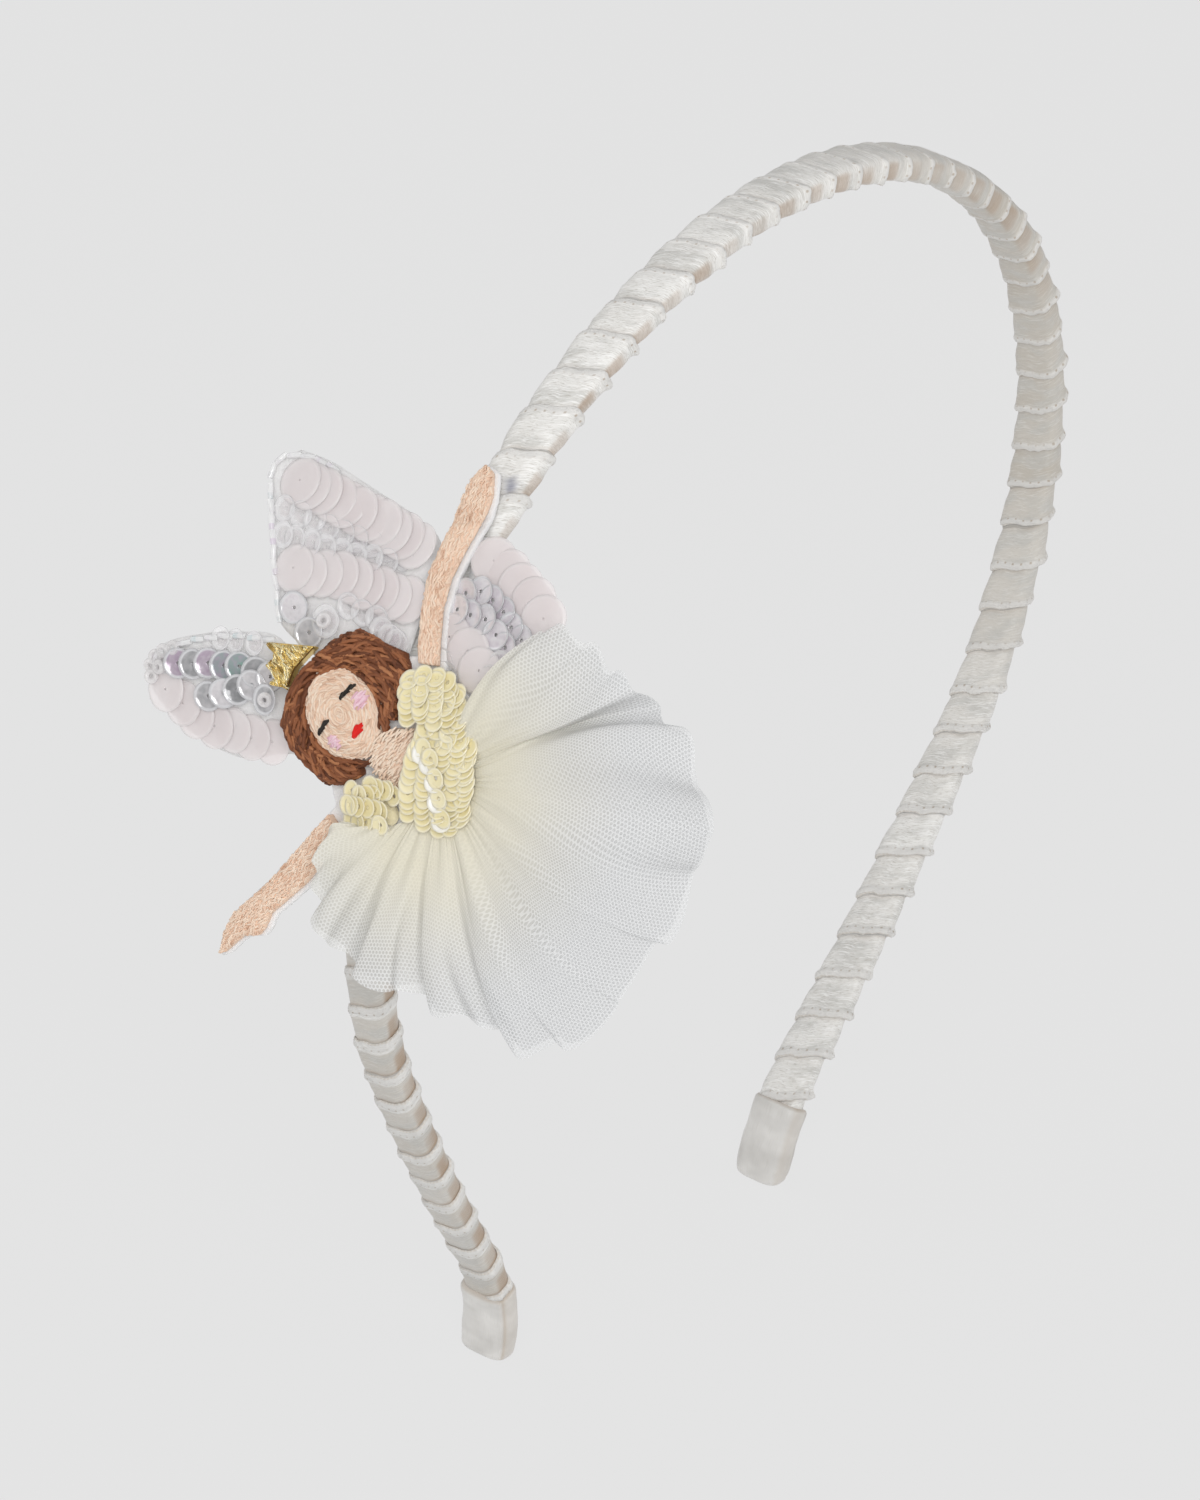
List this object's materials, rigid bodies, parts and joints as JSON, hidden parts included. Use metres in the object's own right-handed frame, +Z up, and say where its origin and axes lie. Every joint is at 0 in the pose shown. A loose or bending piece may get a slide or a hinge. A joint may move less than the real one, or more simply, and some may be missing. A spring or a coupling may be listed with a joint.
{
  "type": "fairy headband",
  "caption": "Slim hair band wound with ivory satin ribbon, carrying a sewn fairy with sequin wings, a thread-stitched face and arms, and a gathered tulle skirt on one side.",
  "frame": {"origin": "under the middle of the bounding box, on the surface that the two tips stand on", "axes": "+Z up, X across the head with the fairy on the -X side, -Y towards the wearer's face"},
  "size_m": [0.1442, 0.071, 0.1342],
  "materials": {
    "ribbon_band": "ivory satin ribbon wound over a steel strip, which makes up most of the weight",
    "ribbon_cap": "ivory satin ribbon, folded",
    "wing_felt": "white felt",
    "wing_sequin": "clear and frosted plastic sequins",
    "backing_felt": "white felt",
    "skin_thread": "peach embroidery thread",
    "hair_thread": "chestnut embroidery thread",
    "crown_thread": "gold metallic thread",
    "lash_thread": "black thread",
    "cheek_thread": "pink thread",
    "mouth_thread": "red thread",
    "dress_sequin": "cream translucent plastic sequins",
    "tulle": "ivory nylon tulle"
  },
  "bodies": {
    "root": {"band": "ribbon_band", "tip_cap_left": "ribbon_cap", "tip_cap_right": "ribbon_cap", "wing_right_upper": "wing_felt", "wing_left_upper": "wing_felt", "wing_right_lower": "wing_felt", "wing_right_upper_sequins": "wing_sequin", "wing_left_upper_sequins": "wing_sequin", "wing_right_lower_sequins": "wing_sequin", "figure_backing": "backing_felt", "arm_raised": "skin_thread", "arm_lowered": "skin_thread", "neck": "skin_thread", "face": "skin_thread", "hair": "hair_thread", "crown": "crown_thread", "eye_right": "lash_thread", "eye_left": "lash_thread", "cheek_right": "cheek_thread", "cheek_left": "cheek_thread", "mouth": "mouth_thread", "bodice": "dress_sequin", "sleeve_right": "dress_sequin", "sleeve_left": "dress_sequin", "skirt": "tulle"}
  },
  "joints": []
}
